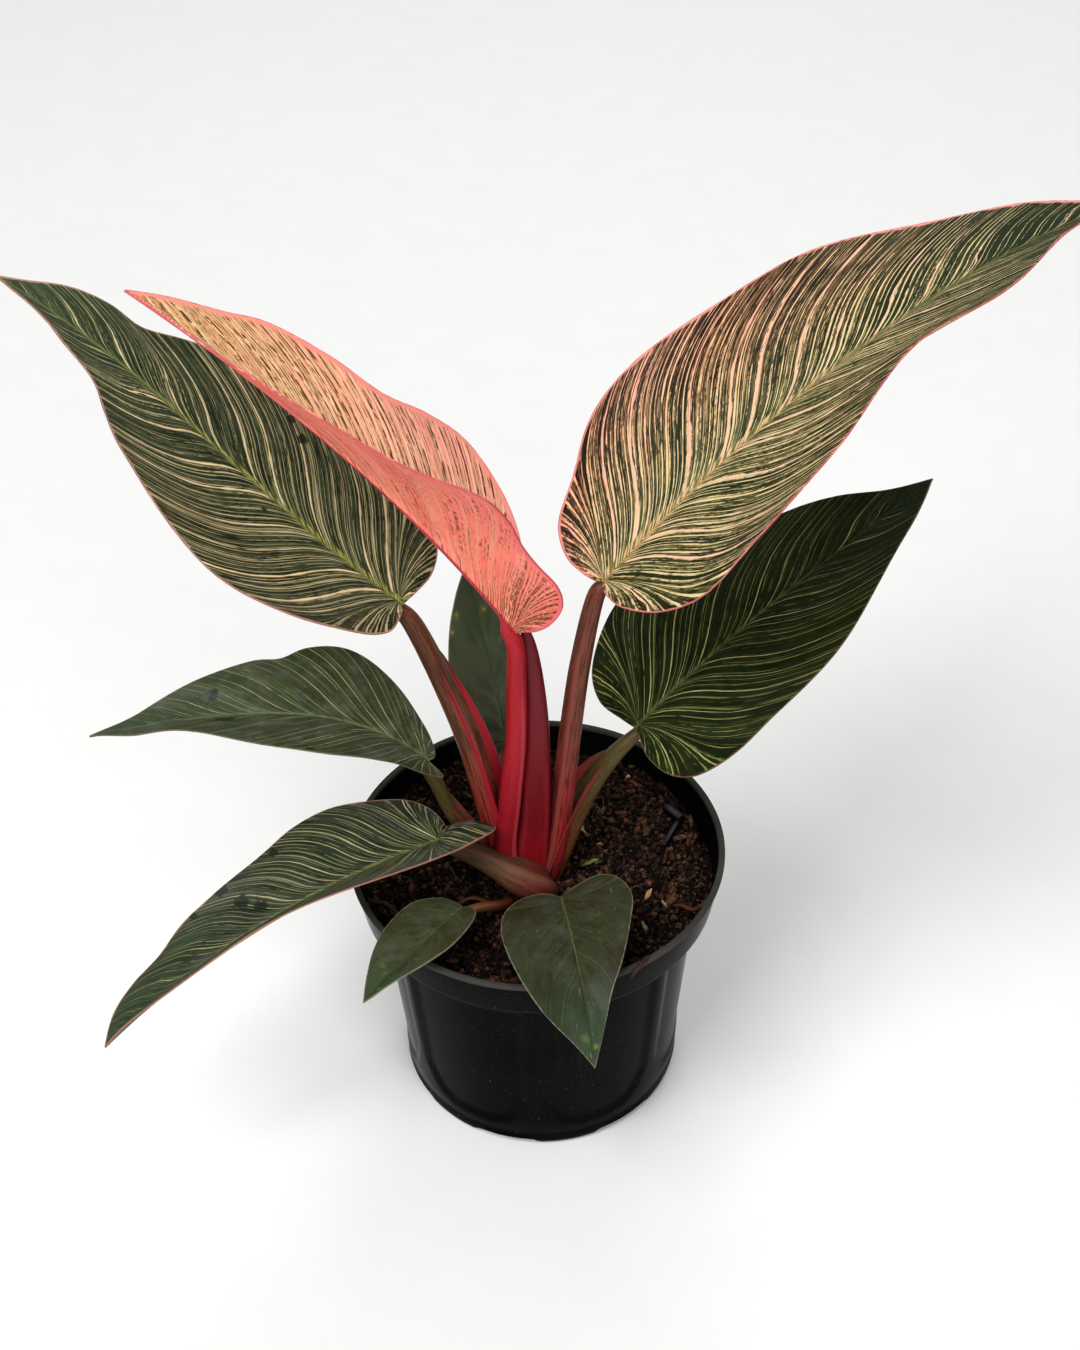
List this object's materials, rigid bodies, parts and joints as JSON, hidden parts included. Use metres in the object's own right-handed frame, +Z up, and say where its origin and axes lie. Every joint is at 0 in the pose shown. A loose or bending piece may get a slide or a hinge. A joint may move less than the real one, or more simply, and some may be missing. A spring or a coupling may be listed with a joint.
{
  "type": "potted philodendron",
  "caption": "Young philodendron with striped green and salmon pink leaves on red and olive stalks, growing in soil in a round black nursery pot.",
  "frame": {"origin": "on the pot's axis, on the surface that the pot stands on", "axes": "+Z up along the pot's axis; -Y is the front, where the two small leaves hang over the rim; +X points to the side of the largest striped leaf"},
  "size_m": [0.3457, 0.1607, 0.3136],
  "materials": {
    "pot_plastic": "glossy black, moulded",
    "peat": "dark crumbly peat",
    "crown": "dull reddish stem",
    "peg_plastic": "smooth grey plastic",
    "new_leaf_sheath": "satin crimson sheath",
    "leaf_large_right": "satin green leaf with cream and pink stripes",
    "stalk_large_right": "satin fleshy stalk",
    "leaf_large_left": "satin dark green leaf with thin cream stripes",
    "stalk_large_left": "satin fleshy stalk",
    "leaf_newest": "satin salmon pink leaf with brown flecks",
    "stalk_newest": "satin fleshy stalk",
    "leaf_lower_right": "satin dark green leaf with sparse cream stripes",
    "stalk_lower_right": "satin fleshy stalk",
    "leaf_middle_left": "dull grey green leaf with faint veins",
    "stalk_middle_left": "satin fleshy stalk",
    "leaf_lower_left": "satin green leaf with cream stripes",
    "stalk_lower_left": "satin fleshy stalk",
    "leaf_small_left": "plain green leaf with a cream edge",
    "stalk_small_left": "satin fleshy stalk",
    "leaf_small_front": "grey green leaf with a tan edge",
    "stalk_small_front": "satin fleshy stalk",
    "leaf_small_rear": "dark green leaf with yellow spots",
    "stalk_small_rear": "satin fleshy stalk"
  },
  "bodies": {
    "root": {"pot": "pot_plastic", "soil": "peat", "crown": "crown", "drip_peg": "peg_plastic", "sheath_newest": "new_leaf_sheath", "blade_large_right": "leaf_large_right", "petiole_large_right": "stalk_large_right", "blade_large_left": "leaf_large_left", "petiole_large_left": "stalk_large_left", "blade_newest": "leaf_newest", "petiole_newest": "stalk_newest", "blade_lower_right": "leaf_lower_right", "petiole_lower_right": "stalk_lower_right", "blade_middle_left": "leaf_middle_left", "petiole_middle_left": "stalk_middle_left", "blade_lower_left": "leaf_lower_left", "petiole_lower_left": "stalk_lower_left", "blade_small_left": "leaf_small_left", "petiole_small_left": "stalk_small_left", "blade_small_front": "leaf_small_front", "petiole_small_front": "stalk_small_front", "blade_small_rear": "leaf_small_rear", "petiole_small_rear": "stalk_small_rear"}
  },
  "joints": []
}
